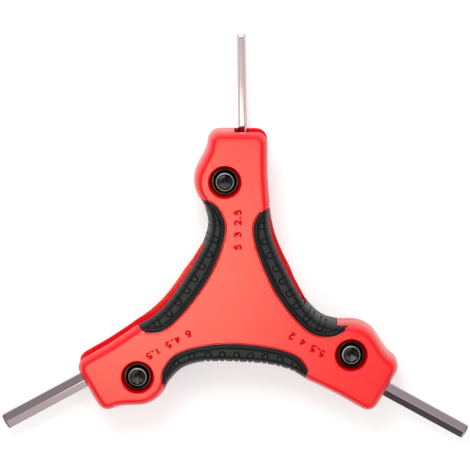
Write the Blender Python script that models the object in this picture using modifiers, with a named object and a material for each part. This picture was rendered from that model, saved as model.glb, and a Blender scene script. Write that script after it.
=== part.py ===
"""Folding hex key set: a three-armed handle, with three hex keys on one pivot in each arm.

The handle lies on its back: the rear face is at z = 0, the front face at z = THICKNESS, and the
top arm points along +Y. Every arm is the top arm turned by a third of a turn about the centre.
An arm's outline and slot are written for the top arm, in x to its right and y outwards.
Units are metres.
"""

import math

import bmesh
import bpy

# The hex keys. Each arm holds three, and the first of its three is the one swung out.
KEY_WIDTHS = {
    "top": (0.003, 0.005, 0.0025),
    "left": (0.006, 0.0045, 0.0015),
    "right": (0.0055, 0.004, 0.002),
}
CORNER_UP_ARMS = ("left", "right")  # the swung-out key of these arms has a corner to the front
KEY_REACH = 0.055  # from the pivot to a key's tip, along the key
KEY_OFFSET = 0.007  # from the pivot's axis to a key's centre line
HOOK_WRAP = math.radians(215)  # how far a key's hooked end goes round the pivot
FOLD_ANGLE = math.radians(147)  # from fully swung out to folded
REST_TURNS = {  # how far short of fully swung out, or past it, each arm's first key lies
    "top": math.radians(0.8),
    "left": math.radians(-1.6),
    "right": math.radians(1.2),
}
TIP_CHAMFER = 0.0007
TIP_TAPER_SHARE = 0.8

# The handle
THICKNESS = 0.026
CORE_RADIUS = 0.01115  # of the solid middle, between the three slots
TIP_WALL = 0.004  # between a folded key's tip and the next arm's slot
ARM_HALF = 0.0118
HEAD_LEFT_SHARE = 0.983
HEAD_LENGTH = 0.0192  # from the pivot to the arm's end
CORNER_RADIUS = 0.0046
SIDE_INSET = 0.0032  # from the widest outline, at the parting, in to the flat of a face
SIDE_DROP = 0.0105  # how far down a side this rounding reaches
HOOK_WALL = 0.0015  # outside the folded hooks
BUMP_START = math.radians(152)
BUMP_END = math.radians(209)
LIP = 0.0009  # how far the rear shell stands out past the grips, beside the slots
LIP_START_SHARES = (0.5,)
LIP_END_SHARES = (0.9, 0.45)
SLOT_CLEARANCE = 0.0004
SLOT_END_CLEARANCE = 0.0006
HALF_GAP = 0.0001

# The handle's sides: shares of ARM_HALF across, and of the pivot's height along the arm.
SLOT_SIDE_SHARES = (
    (1.847, 0.169), (1.627, 0.276), (1.377, 0.403), (1.182, 0.53), (1.081, 0.636), (1.059, 0.731),
)
ARM_SIDE_SHARES = ((1.08, 0.81), (1.042, 0.91), (1.0, 1.08))
SIDE_STEPS = 2
# Shares of the way from the arm's rounded corner to the bump round the hooks.
SHOULDER_SHARES = ((0.118, 0.248), (0.525, 0.624))
# Shares of the place where that bump ends.
WAIST_SHARES = (
    (0.98, 0.983), (0.875, 0.928), (0.797, 0.856), (0.741, 0.771), (0.758, 0.675), (0.846, 0.566),
)

# The grips: their inner border, in the slot side's shares, and then in those of the next waist.
BORDER_SHARES = (
    (1.13, 0.79), (0.76, 0.755), (0.57, 0.68), (0.521, 0.61), (0.57, 0.52), (0.682, 0.42),
    (0.926, 0.265), (1.263, 0.095),
)
FAR_BORDER_SHARES = (
    (0.501, 0.447), (0.356, 0.621), (0.329, 0.747), (0.448, 0.866), (0.634, 0.938),
    (0.918, 0.977),
)
BORDER_STEPS = 2
GRIP_DEPTH = 0.0018
GRIP_SKIRT = 0.0012
GRIP_CORE_INSET = 0.002  # what SIDE_INSET is for the shell under a grip
GRIP_GAP = 0.0002
GRIP_MARGIN = 0.0008  # a rear skirt stops this far from a slot
GRIP_FAR_SHARES = (0.625, 0.375)  # of the way to the next arm, where a grip's land ends outside
SKIRT_TOP_SHARE = 0.775  # of the way out to the pivot: past it the waist's wall gets thin,
WAIST_DEPTH = 0.0036  # and the grip reaches only this far down the side

# The pivots
SLEEVE_RADIUS = 0.0028
SCREW_RADIUS = 0.0019
HEAD_RADIUS = 0.0052
HEAD_HEIGHT = 0.0024
HEAD_CHAMFER = 0.0004
SOCKET_WIDTH = 0.005
SOCKET_DEPTH = 0.0017
RECESS_RADIUS = 0.0063
RECESS_DEPTH = 0.0035
THREAD_LENGTH = 0.0145
THREAD_GAP = 0.0002
RUNNING_GAP = 0.0002
AXIAL_GAP = 0.00015
WASHER_RADIUS = 0.0082
WASHER_THICKNESS = 0.0006  # at the arm whose keys make the tallest stack

# Moulded features inside the handle
CORE_HOLE_RADIUS = 0.0032
CORE_HOLE_CIRCLE = 0.0066
LOBE_HOLE_SHARES = (-0.56, 0.535)
CORE_FLOOR = 0.004
SPIGOT_RADIUS = 0.0024
SPIGOT_LENGTH = 0.003
SPIGOT_GAP = 0.0002

ROUND_SIDES = 20
HOLE_SIDES = 10
ROUND_SEGMENTS = 3
MERGE = 0.000001
OVERRUN = 0.004

THIRD = math.radians(120)
ARM_TURNS = {"top": 0.0, "left": THIRD, "right": -THIRD}
GRIP_TURNS = {"right": 0.0, "left": THIRD, "bottom": -THIRD}


def polar(radius, angle, centre=(0.0, 0.0)):
    """The point at a radius and angle from a centre."""
    return (centre[0] + radius * math.cos(angle), centre[1] + radius * math.sin(angle))


def turned(point, angle):
    """A point turned about the handle's centre."""
    return polar(math.hypot(*point), math.atan2(point[1], point[0]) + angle)


def arc(centre, radius, start, end, steps):
    """Points along an arc, both ends included."""
    return [polar(radius, start + (end - start) * i / steps, centre) for i in range(steps + 1)]


def smooth_line(points, steps):
    """A Catmull-Rom line through the points, with steps stretches between each two."""
    padded = [points[0]] + list(points) + [points[-1]]
    line = []
    for before, start, end, after in zip(padded, padded[1:], padded[2:], padded[3:]):
        for i in range(steps):
            t = i / steps
            weights = (
                -t + 2 * t**2 - t**3, 2 - 5 * t**2 + 3 * t**3, t + 4 * t**2 - 3 * t**3, t**3 - t**2
            )
            corners = (before, start, end, after)
            line.append(tuple(sum(w * c[k] for w, c in zip(weights, corners)) / 2 for k in (0, 1)))
    return line + [tuple(points[-1])]


def shifted_line(points, distances):
    """An open line moved to its right by a distance at each point."""
    moved = []
    for i, (x, y) in enumerate(points):
        before = points[max(i - 1, 0)]
        after = points[min(i + 1, len(points) - 1)]
        run = (after[0] - before[0], after[1] - before[1])
        length = math.hypot(*run)
        moved.append((x + run[1] / length * distances[i], y - run[0] / length * distances[i]))
    return moved


def inset_loop(points, distance):
    """A closed counterclockwise outline moved inwards by a distance."""
    inner = []
    for i, (x, y) in enumerate(points):
        before, after = points[i - 1], points[(i + 1) % len(points)]
        first = math.atan2(y - before[1], x - before[0])
        second = math.atan2(after[1] - y, after[0] - x)
        half_bend = math.remainder(second - first, math.tau) / 2
        inner.append(polar(distance / math.cos(half_bend), first + half_bend + math.pi / 2, (x, y)))
    return inner


def key_height(width, corner_up):
    """A key's height off the slot's floor: across its flats, or across its corners."""
    return width / math.cos(math.pi / 6) if corner_up else width


def stack_heights(arm):
    """The heights of an arm's keys, from the rear: the swung-out key lies nearest the rear."""
    widths = KEY_WIDTHS[arm]
    first = key_height(widths[0], arm in CORNER_UP_ARMS)
    return [first] + [key_height(width, False) for width in widths[1:]]


def hook_half(width, corner_up):
    """Half a key's breadth in the plane that it swings in."""
    return width / 2 if corner_up else width / 2 / math.cos(math.pi / 6)


# The slots' places follow from the keys: a folded key passes the middle at FOLDED_DISTANCE, and
# its tip stops short of the next arm's slot.
GAPS_IN_STACK = 8
WASHERS_IN_STACK = 4
WIDEST_HALF = max(
    hook_half(width, arm in CORNER_UP_ARMS and place == 0)
    for arm, widths in KEY_WIDTHS.items()
    for place, width in enumerate(widths)
)
HOOK_RADIUS = KEY_OFFSET + WIDEST_HALF
SLOT_HEIGHT = (
    max(sum(stack_heights(arm)) for arm in KEY_WIDTHS)
    + WASHERS_IN_STACK * WASHER_THICKNESS
    + GAPS_IN_STACK * AXIAL_GAP
)
PLATE = (THICKNESS - SLOT_HEIGHT) / 2
SLOT_FLOOR = PLATE
SLOT_ROOF = THICKNESS - PLATE
PARTING = THICKNESS / 2
FOLDED_DISTANCE = CORE_RADIUS + WIDEST_HALF + SLOT_CLEARANCE
FOLDED_TIP = FOLDED_DISTANCE * math.tan(math.pi / 3) - (
    TIP_WALL + 2 * (WIDEST_HALF + SLOT_CLEARANCE)
) / math.cos(math.pi / 6)
PIVOT = polar(
    math.hypot(FOLDED_DISTANCE + KEY_OFFSET, KEY_REACH - FOLDED_TIP),
    math.pi / 2 - FOLD_ANGLE + math.atan2(FOLDED_DISTANCE + KEY_OFFSET, FOLDED_TIP - KEY_REACH),
)
SLOT_LEFT = PIVOT[0] + KEY_OFFSET - WIDEST_HALF - SLOT_CLEARANCE
SLOT_END_RADIUS = math.hypot(KEY_REACH, HOOK_RADIUS) + SLOT_END_CLEARANCE
ARM_END = PIVOT[1] + HEAD_LENGTH
BUMP_RADIUS = HOOK_RADIUS + SLOT_CLEARANCE + HOOK_WALL
BUMP_FOOT = polar(BUMP_RADIUS, BUMP_END, PIVOT)


def from_shares(shares, whole=(ARM_HALF, PIVOT[1])):
    """Outline points from their shares of a place, across and outwards."""
    return [(across * whole[0], outwards * whole[1]) for across, outwards in shares]


def handle_outline(lip):
    """The handle's outline, counterclockwise, with a lip beside the slots."""
    slot_side = smooth_line(from_shares(SLOT_SIDE_SHARES), SIDE_STEPS)
    shares = [1.0] * len(slot_side)
    shares[:1] = LIP_START_SHARES
    shares[-len(LIP_END_SHARES):] = LIP_END_SHARES
    third = shifted_line(slot_side, [lip * share for share in shares])
    third += smooth_line(from_shares(ARM_SIDE_SHARES), SIDE_STEPS)
    corner = (ARM_HALF - CORNER_RADIUS, ARM_END - CORNER_RADIUS)
    third += arc(corner, CORNER_RADIUS, 0, math.pi / 2, ROUND_SEGMENTS + 1)
    corner = (CORNER_RADIUS - ARM_HALF * HEAD_LEFT_SHARE, ARM_END - CORNER_RADIUS)
    third += arc(corner, CORNER_RADIUS, math.pi / 2, math.pi, ROUND_SEGMENTS + 1)
    bump = arc(PIVOT, BUMP_RADIUS, BUMP_START, BUMP_END, 2 * ROUND_SEGMENTS)
    left, low = third[-1]
    third += [
        (left + (bump[0][0] - left) * across, low + (bump[0][1] - low) * down)
        for across, down in SHOULDER_SHARES
    ]
    third += bump
    third += smooth_line(from_shares(WAIST_SHARES, BUMP_FOOT), SIDE_STEPS)
    return [turned(point, step * THIRD) for step in range(3) for point in third]


def slot_outline(margin):
    """The space that an arm's keys swing through, open past the arm's end and its right side."""
    wall_radius = HOOK_RADIUS + SLOT_CLEARANCE + margin
    fold = math.pi / 2 - FOLD_ANGLE
    far = SLOT_END_RADIUS + margin
    left = SLOT_LEFT - margin
    first = math.acos((left - PIVOT[0]) / wall_radius)
    points = [(left, ARM_END + OVERRUN)]
    points += arc(PIVOT, wall_radius, first, fold + 3 * math.pi / 2, 2 * HOLE_SIDES)
    start = fold - math.asin(wall_radius / far)
    points += arc(PIVOT, far, start, start + math.atan2(far / 2, far), ROUND_SEGMENTS * 3)
    points.append((PIVOT[0] + far, points[-1][1] + OVERRUN))
    points.append((PIVOT[0] + far, ARM_END + OVERRUN))
    return points


def grip_outline(gap):
    """The land of one grip: inside its border, and out past the handle's side."""
    border = from_shares(BORDER_SHARES)
    border += [turned(point, -THIRD) for point in from_shares(FAR_BORDER_SHARES, BUMP_FOOT)]
    border = smooth_line(border, BORDER_STEPS)
    border = shifted_line(border, [gap] * len(border))
    outside = (0.0, ARM_HALF + PIVOT[1])
    return border + [turned(outside, -THIRD * share) for share in GRIP_FAR_SHARES]


def reset():
    """Empty the file, and make the two collections."""
    for thing in list(bpy.data.objects):
        bpy.data.objects.remove(thing, do_unlink=True)
    made = []
    for name in ("folding_hex_key_set", "cutters"):
        made.append(bpy.data.collections.new(name))
        bpy.context.scene.collection.children.link(made[-1])
    return made


PARTS, CUTTERS = reset()


def material(name, colour, roughness, metallic):
    """A plain material for one piece."""
    made = bpy.data.materials.new(name)
    made.use_nodes = True
    shader = made.node_tree.nodes["Principled BSDF"]
    shader.inputs["Base Color"].default_value = (*colour, 1.0)
    shader.inputs["Roughness"].default_value = roughness
    shader.inputs["Metallic"].default_value = metallic
    return made


def red_plastic(name):
    return material(name + "_red_plastic", (0.85, 0.02, 0.03), 0.42, 0.0)


def black_rubber(name):
    return material(name + "_black_rubber", (0.03, 0.032, 0.034), 0.7, 0.0)


def black_steel(name):
    return material(name + "_black_steel", (0.025, 0.025, 0.028), 0.38, 0.9)


def bright_steel(name):
    return material(name + "_bright_steel", (0.55, 0.53, 0.54), 0.28, 1.0)


def plain_steel(name):
    return material(name + "_zinc_steel", (0.42, 0.43, 0.44), 0.45, 1.0)


def placed(name, mesh, collection, finish=None, at=(0.0, 0.0, 0.0), turn=0.0):
    """An object of a mesh, in a collection, with its own material."""
    thing = bpy.data.objects.new(name, mesh)
    collection.objects.link(thing)
    thing.location = at
    thing.rotation_euler = (0.0, 0.0, turn)
    if finish:
        mesh.materials.clear()
        mesh.materials.append(finish(name))
    if collection == CUTTERS:
        thing.hide_render = True
        thing.display_type = "WIRE"
    return thing


def mesh_of(thing):
    """A welded mesh of a curve object as evaluated, with the curve removed."""
    bpy.context.view_layer.update()
    evaluated = thing.evaluated_get(bpy.context.evaluated_depsgraph_get())
    mesh = bpy.data.meshes.new_from_object(evaluated)
    mesh.transform(thing.matrix_world)
    name = thing.name
    bpy.data.objects.remove(thing, do_unlink=True)
    work = bmesh.new()
    work.from_mesh(mesh)
    bmesh.ops.remove_doubles(work, verts=work.verts, dist=MERGE)
    for side in (-1, 1):
        cap = [face for face in work.faces if face.normal.z * side > 0.9]
        bmesh.ops.dissolve_faces(work, faces=cap, use_verts=False)
    bmesh.ops.recalc_face_normals(work, faces=work.faces)
    work.to_mesh(mesh)
    work.free()
    mesh.name = name
    return mesh


def prism_mesh(name, outlines, bottom, top):
    """Closed outlines, each drawn as a filled curve and raised from bottom to top."""
    curve = bpy.data.curves.new(name, "CURVE")
    curve.dimensions = "2D"
    curve.fill_mode = "BOTH"
    curve.extrude = (top - bottom) / 2
    for outline in outlines:
        spline = curve.splines.new("POLY")
        spline.points.add(len(outline) - 1)
        for point, (x, y) in zip(spline.points, outline):
            point.co = (x, y, 0.0, 1.0)
        spline.use_cyclic_u = True
    thing = placed(name, curve, CUTTERS, at=(0.0, 0.0, (top + bottom) / 2))
    return mesh_of(thing)


def prism_cutter(name, outlines, bottom, top):
    """A cutter raised from outlines."""
    return placed(name, prism_mesh(name, outlines, bottom, top), CUTTERS)


def three_times(outline):
    """An outline at each of the three arms."""
    return [[turned(point, turn) for point in outline] for turn in ARM_TURNS.values()]


def circle(centre, radius, sides):
    """A round outline."""
    return [polar(radius, math.tau * i / sides, centre) for i in range(sides)]


def boolean(thing, operation, other):
    """A Boolean modifier on a piece."""
    modifier = thing.modifiers.new(other.name, "BOOLEAN")
    modifier.operation = operation
    modifier.object = other


def cut(thing, cutter):
    """Take a cutter's shape out of a piece."""
    boolean(thing, "DIFFERENCE", cutter)


def ring(name, inner, outer, height, at, finish):
    """A turned ring, with its lower face at the given point."""
    profile = [(outer, height), (outer, 0.0), (inner, 0.0), (inner, height)]
    return turned_piece(name, profile, at, finish, closed=True)


def turned_piece(name, profile, at, finish, closed=False):
    """A piece turned from a profile of (radius, height) that runs down its outer side."""
    mesh = bpy.data.meshes.new(name)
    edges = [(i, i + 1) for i in range(len(profile) - 1)]
    if closed:
        edges.append((len(profile) - 1, 0))
    mesh.from_pydata([(radius, 0.0, height) for radius, height in profile], edges, [])
    collection = PARTS if finish else CUTTERS
    thing = placed(name, mesh, collection, finish, at)
    screw = thing.modifiers.new("turned", "SCREW")
    screw.steps = ROUND_SIDES
    screw.render_steps = ROUND_SIDES
    screw.use_merge_vertices = True
    screw.merge_threshold = MERGE
    screw.use_smooth_shade = True
    return thing


def domed(name, outline, levels, inset, drop):
    """A solid between two levels, whose side curves in towards the level that is a face."""
    mesh = prism_mesh(name, [outline], *levels)
    face = max(levels, key=lambda level: abs(level - PARTING))
    work = bmesh.new()
    work.from_mesh(mesh)
    rim = [
        edge for edge in work.edges
        if all(abs(vertex.co.z - face) < MERGE for vertex in edge.verts)
    ]
    bmesh.ops.bevel(
        work, geom=rim, offset=inset, offset_type="OFFSET", segments=ROUND_SEGMENTS,
        profile=0.5, affect="EDGES", clamp_overlap=False,
    )
    for vertex in work.verts:
        if abs(vertex.co.z - face) < inset + MERGE:
            vertex.co.z = face + (vertex.co.z - face) * drop / inset
    work.to_mesh(mesh)
    work.free()
    return mesh


def blank(name, lip, front, finish):
    """Half of the handle, solid."""
    levels = (PARTING + HALF_GAP, THICKNESS) if front else (0.0, PARTING - HALF_GAP)
    mesh = domed(name, handle_outline(lip), levels, SIDE_INSET, SIDE_DROP)
    return placed(name, mesh, PARTS, finish)


def grip_land(name, front, gap, turns):
    """The space of the grips on one half: a face band, and a skirt down the side."""
    turned_outlines = [[turned(p, turn) for p in grip_outline(gap)] for turn in turns]
    inner = inset_loop(handle_outline(0.0), GRIP_SKIRT + gap)
    depth = GRIP_DEPTH + gap
    above = THICKNESS + OVERRUN
    if front:
        land = prism_cutter(name, turned_outlines, PARTING - OVERRUN, above)
        levels = (PARTING - 2 * OVERRUN, THICKNESS - depth)
    else:
        land = prism_cutter(name, turned_outlines, -OVERRUN, PARTING + OVERRUN)
        levels = (depth, PARTING + 2 * OVERRUN)
        cut_slots(land, depth, above, GRIP_MARGIN - gap)
    core = domed(name + "_core", inner, levels, GRIP_CORE_INSET, SIDE_DROP - depth)
    cut(land, placed(name + "_core", core, CUTTERS))
    cut(land, waist_cutter(front, gap))
    return land


def cut_slots(thing, bottom, top, margin=0.0):
    """Cut the three slots, which overlap outside the handle and so stay separate cutters."""
    for arm, outline in zip(ARM_TURNS, three_times(slot_outline(margin))):
        cut(thing, prism_cutter("%s_slot_%s" % (thing.name, arm), [outline], bottom, top))


def waist_cutter(front, gap):
    """What keeps the grips off the thin wall beside the hooks."""
    name = "waist_%d" % len(CUTTERS.objects)
    low = SKIRT_TOP_SHARE * PIVOT[1] + gap
    outline = [(0.0, low), (0.0, ARM_END), (-2 * ARM_HALF, ARM_END), (-2 * ARM_HALF, low)]
    depth = WAIST_DEPTH + gap
    bottom = -OVERRUN if front else depth
    top = THICKNESS - depth if front else THICKNESS + OVERRUN
    return prism_cutter(name, three_times(outline), bottom, top)


def make_shell(front):
    """One half of the handle."""
    name = "front_shell" if front else "rear_shell"
    shell = blank(name, 0.0 if front else LIP, front, red_plastic)
    cut_slots(shell, SLOT_FLOOR, SLOT_ROOF)
    cut(shell, grip_land(name + "_grip_lands", front, GRIP_GAP, GRIP_TURNS.values()))
    recess_floor = THICKNESS - RECESS_DEPTH if front else -OVERRUN
    recess_top = THICKNESS + OVERRUN if front else RECESS_DEPTH
    recess = circle(PIVOT, RECESS_RADIUS, ROUND_SIDES)
    bore = circle(PIVOT, SLEEVE_RADIUS + RUNNING_GAP, ROUND_SIDES)
    cut(shell, prism_cutter(name + "_recesses", three_times(recess), recess_floor, recess_top))
    cut(shell, prism_cutter(name + "_bores", three_times(bore), -OVERRUN, THICKNESS + OVERRUN))
    middle = three_times(circle((0.0, CORE_HOLE_CIRCLE), CORE_HOLE_RADIUS, HOLE_SIDES))
    lobe = from_shares([LOBE_HOLE_SHARES])[0]
    holes = middle + three_times(circle(lobe, CORE_HOLE_RADIUS, HOLE_SIDES))
    cut(shell, prism_cutter(name + "_cores", holes, CORE_FLOOR, THICKNESS - CORE_FLOOR))
    spigot_end = PARTING - SPIGOT_LENGTH
    if front:
        spigot = [circle((0.0, 0.0), SPIGOT_RADIUS, HOLE_SIDES)]
        added = prism_cutter("spigot", spigot, spigot_end, PARTING + SPIGOT_LENGTH)
        boolean(shell, "UNION", added)
    else:
        socket = [circle((0.0, 0.0), SPIGOT_RADIUS + SPIGOT_GAP, HOLE_SIDES)]
        cut(shell, prism_cutter("spigot_socket", socket, spigot_end - SPIGOT_GAP, THICKNESS))


def make_grip(front, place, turn):
    """One rubber grip."""
    name = ("front" if front else "rear") + "_grip_" + place
    grip = blank(name, 0.0, front, black_rubber)
    boolean(grip, "INTERSECT", grip_land(name + "_land", front, 0.0, [turn]))
    cut_slots(grip, SLOT_FLOOR, SLOT_ROOF)


def hexagon_profile(name, width, corner_up):
    """The section of a key, as a curve that its centre line carries."""
    curve = bpy.data.curves.new(name, "CURVE")
    curve.dimensions = "2D"
    curve.fill_mode = "NONE"
    spline = curve.splines.new("POLY")
    spline.points.add(5)
    first = math.pi / 2 if corner_up else 0.0
    for i, point in enumerate(spline.points):
        point.co = (*polar(width / 2 / math.cos(math.pi / 6), first - math.pi / 3 * i), 0.0, 1.0)
    spline.use_cyclic_u = True
    return placed(name, curve, CUTTERS)


def key_name(width):
    return "%gmm" % (width * 1000)


def make_key(arm, place, width, bottom):
    """A hex key whose end is bent round the pivot, and the bush inside the bend."""
    corner_up = place == 0 and arm in CORNER_UP_ARMS
    height = key_height(width, corner_up)
    label = key_name(width).replace(".", "_")
    centre = turned(PIVOT, ARM_TURNS[arm])
    curve = bpy.data.curves.new("hex_key_" + label, "CURVE")
    curve.dimensions = "3D"
    curve.twist_mode = "Z_UP"
    curve.bevel_mode = "OBJECT"
    curve.bevel_object = hexagon_profile("hexagon_" + label, width, corner_up)
    curve.use_fill_caps = True
    hook = arc((0.0, 0.0), KEY_OFFSET, 0.0, -HOOK_WRAP, ROUND_SIDES // 2)
    line = [(KEY_OFFSET, KEY_REACH), (KEY_OFFSET, KEY_REACH - TIP_CHAMFER)] + hook
    spline = curve.splines.new("POLY")
    spline.points.add(len(line) - 1)
    for point, (x, y) in zip(spline.points, line):
        point.co = (x, y, 0.0, 1.0)
    spline.points[0].radius = TIP_TAPER_SHARE
    turn = ARM_TURNS[arm] + (-FOLD_ANGLE if place else REST_TURNS[arm])
    at = (*centre, bottom + height / 2)
    key = placed("hex_key_" + label, curve, PARTS, bright_steel, at, turn)
    bush_outer = KEY_OFFSET - hook_half(width, corner_up) - RUNNING_GAP
    bush_inner = SLEEVE_RADIUS + RUNNING_GAP
    ring("bush_" + label, bush_inner, bush_outer, height, (*centre, bottom), plain_steel)
    return key


def make_pivot(arm):
    """An arm's screw, sleeve nut, washers and keys."""
    centre = turned(PIVOT, ARM_TURNS[arm])
    heights = stack_heights(arm)
    free = SLOT_HEIGHT - sum(heights) - GAPS_IN_STACK * AXIAL_GAP
    washer = free / WASHERS_IN_STACK
    level = SLOT_FLOOR + AXIAL_GAP
    for place in range(WASHERS_IN_STACK):
        name = "washer_%s_%d" % (arm, place + 1)
        hole = SLEEVE_RADIUS + RUNNING_GAP
        ring(name, hole, WASHER_RADIUS, washer, (*centre, level), plain_steel)
        level += washer + AXIAL_GAP
        if place < len(heights):
            make_key(arm, place, KEY_WIDTHS[arm][place], level)
            level += heights[place] + AXIAL_GAP
    make_sleeve_nut(arm, centre)
    make_screw(arm, centre)


def socket_cutter(name, centre, bottom, top):
    """A hexagon socket, with two corners up and down the handle."""
    corner = SOCKET_WIDTH / 2 / math.cos(math.pi / 6)
    hexagon = [polar(corner, math.pi / 2 + math.pi / 3 * i, centre) for i in range(6)]
    return prism_cutter(name, [hexagon], bottom, top)


def make_sleeve_nut(arm, centre):
    """The nut that carries the keys, with its head in the rear recess."""
    top = THICKNESS - RECESS_DEPTH - AXIAL_GAP
    seat = RECESS_DEPTH - AXIAL_GAP
    head = seat - HEAD_HEIGHT
    bore_floor = top - THREAD_LENGTH
    bore = SCREW_RADIUS + THREAD_GAP
    profile = [
        (0.0, bore_floor), (bore, bore_floor), (bore, top), (SLEEVE_RADIUS, top),
        (SLEEVE_RADIUS, seat), (HEAD_RADIUS, seat), (HEAD_RADIUS, head + HEAD_CHAMFER),
        (HEAD_RADIUS - HEAD_CHAMFER, head), (0.0, head),
    ]
    nut = turned_piece("sleeve_nut_" + arm, profile, (*centre, 0.0), black_steel)
    socket = socket_cutter("nut_socket_" + arm, centre, head - OVERRUN, head + SOCKET_DEPTH)
    cut(nut, socket)


def make_screw(arm, centre):
    """The pivot screw, with its head in the front recess."""
    seat = THICKNESS - RECESS_DEPTH + AXIAL_GAP
    top = seat + HEAD_HEIGHT
    tip = THICKNESS - RECESS_DEPTH - THREAD_LENGTH + AXIAL_GAP
    profile = [
        (0.0, top), (HEAD_RADIUS - HEAD_CHAMFER, top), (HEAD_RADIUS, top - HEAD_CHAMFER),
        (HEAD_RADIUS, seat), (SCREW_RADIUS, seat), (SCREW_RADIUS, tip + HEAD_CHAMFER),
        (SCREW_RADIUS - HEAD_CHAMFER, tip), (0.0, tip),
    ]
    screw = turned_piece("pivot_screw_" + arm, profile, (*centre, 0.0), black_steel)
    socket = socket_cutter("screw_socket_" + arm, centre, top - SOCKET_DEPTH, top + OVERRUN)
    cut(screw, socket)


for on_front in (True, False):
    make_shell(on_front)
    for grip_place, grip_turn in GRIP_TURNS.items():
        make_grip(on_front, grip_place, grip_turn)
for arm_name in KEY_WIDTHS:
    make_pivot(arm_name)
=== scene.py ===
import math

import bmesh
import bpy
import numpy as np
from mathutils import Matrix, Vector


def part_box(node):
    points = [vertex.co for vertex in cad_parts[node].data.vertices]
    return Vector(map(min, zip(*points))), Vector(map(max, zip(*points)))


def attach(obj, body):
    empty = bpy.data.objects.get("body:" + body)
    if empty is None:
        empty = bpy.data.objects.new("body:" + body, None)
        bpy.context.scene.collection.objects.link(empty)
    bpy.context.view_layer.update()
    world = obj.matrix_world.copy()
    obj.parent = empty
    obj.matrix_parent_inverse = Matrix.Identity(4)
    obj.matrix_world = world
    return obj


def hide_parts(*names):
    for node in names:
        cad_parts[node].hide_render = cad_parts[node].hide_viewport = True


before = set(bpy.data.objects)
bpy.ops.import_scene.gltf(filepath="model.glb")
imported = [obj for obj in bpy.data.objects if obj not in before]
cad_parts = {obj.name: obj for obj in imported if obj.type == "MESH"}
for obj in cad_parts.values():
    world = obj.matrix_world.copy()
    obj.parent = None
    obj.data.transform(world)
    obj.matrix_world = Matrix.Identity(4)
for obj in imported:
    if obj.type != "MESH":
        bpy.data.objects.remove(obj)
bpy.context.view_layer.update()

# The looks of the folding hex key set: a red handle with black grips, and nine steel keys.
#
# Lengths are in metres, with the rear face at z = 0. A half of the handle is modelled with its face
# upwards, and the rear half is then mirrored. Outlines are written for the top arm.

# The keys, as in the frame: the first of each arm's three is swung out
KEY_WIDTHS = {
    "top": (0.003, 0.005, 0.0025),
    "left": (0.006, 0.0045, 0.0015),
    "right": (0.0055, 0.004, 0.002),
}
CORNER_UP_ARMS = ("left", "right")  # whose swung-out key lies with a corner up
WIDEST_HALF = 0.003
KEY_REACH = 0.055  # from the pivot to the tip
KEY_OFFSET = 0.007  # of the key's middle line from the pivot
HOOK_WRAP = math.radians(215)
FOLD_ANGLE = math.radians(147)
REST_TURNS = {"top": math.radians(0.8), "left": math.radians(-1.6), "right": math.radians(1.2)}
KEY_CORNER_ROUND_SHARE = 0.07
KEY_RING_SHARES = (0.75, 0.5, 0.25, 0.02)  # where the straight run is divided
TIP_CHAMFER = 0.0007
TIP_TAPER_SHARE = 0.8

# The handle's shape, as in the frame
THICKNESS = 0.026
PARTING = THICKNESS / 2
HALF_GAP = 0.0001
PARTING_CHAMFER = 0.0003
CORE_RADIUS = 0.01115
TIP_WALL = 0.004
ARM_HALF = 0.0118
HEAD_LEFT_SHARE = 0.983
HEAD_LENGTH = 0.0192
CORNER_RADIUS = 0.0046
SIDE_INSET = 0.0032
SIDE_DROP = 0.0105
FACE_MARGIN = 0.0004
HOOK_WALL = 0.0015
BUMP_START = math.radians(152)
BUMP_END = math.radians(209)
LIP = 0.0009  # of the rear half, beside the slots
LIP_START_SHARE = 0.5
LIP_END_SHARES = (0.9, 0.45)
SLOT_CLEARANCE = 0.0004
SLOT_END_CLEARANCE = 0.0006
SLOT_SIDE_SHARES = (
    (1.847, 0.169), (1.627, 0.276), (1.377, 0.403), (1.182, 0.53), (1.081, 0.636), (1.059, 0.731),
)
ARM_SIDE_SHARES = ((1.08, 0.81), (1.042, 0.91), (1.0, 1.08))
SHOULDER_SHARES = ((0.118, 0.248), (0.525, 0.624))
WAIST_SHARES = (
    (0.98, 0.983), (0.875, 0.928), (0.797, 0.856), (0.741, 0.771), (0.758, 0.675), (0.846, 0.566),
)
BORDER_SHARES = (
    (1.13, 0.79), (0.76, 0.755), (0.57, 0.68), (0.521, 0.61), (0.57, 0.52), (0.682, 0.42),
    (0.926, 0.265), (1.263, 0.095),
)
FAR_BORDER_SHARES = (
    (0.501, 0.447), (0.356, 0.621), (0.329, 0.747), (0.448, 0.866), (0.634, 0.938),
    (0.918, 0.977),
)

# The grips
GRIP_DEPTH = 0.0018
GRIP_SKIRT = 0.0012
GRIP_CORE_INSET = 0.002
GRIP_GAP = 0.0002
GRIP_MARGIN = 0.0008
GRIP_FAR_SHARES = (0.625, 0.375)
SKIRT_TOP_SHARE = 0.775
WAIST_DEPTH = 0.0036
GRIP_SINK = 0.0004  # of the grip's surface below the face; its bead comes up level with the face
BEAD_RADIUS = 0.00065
BEAD_INSET = 0.0008
GROOVE_RADIUS = 0.0003
GROOVE_INSET = 0.0017
SHADOW_RADIUS = 0.0004  # of the fine groove in the red beside each grip
MARK_COUNT = 9
MARK_START = (0.0125, 0.0305)
MARK_END = (0.0335, -0.0045)
MARK_HALF = 0.0011
MARK_REACH = 0.0049
MARK_OVERRUN = 0.0002
MARK_RADIUS = 0.00036
MARK_SINK = 0.0003

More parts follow.
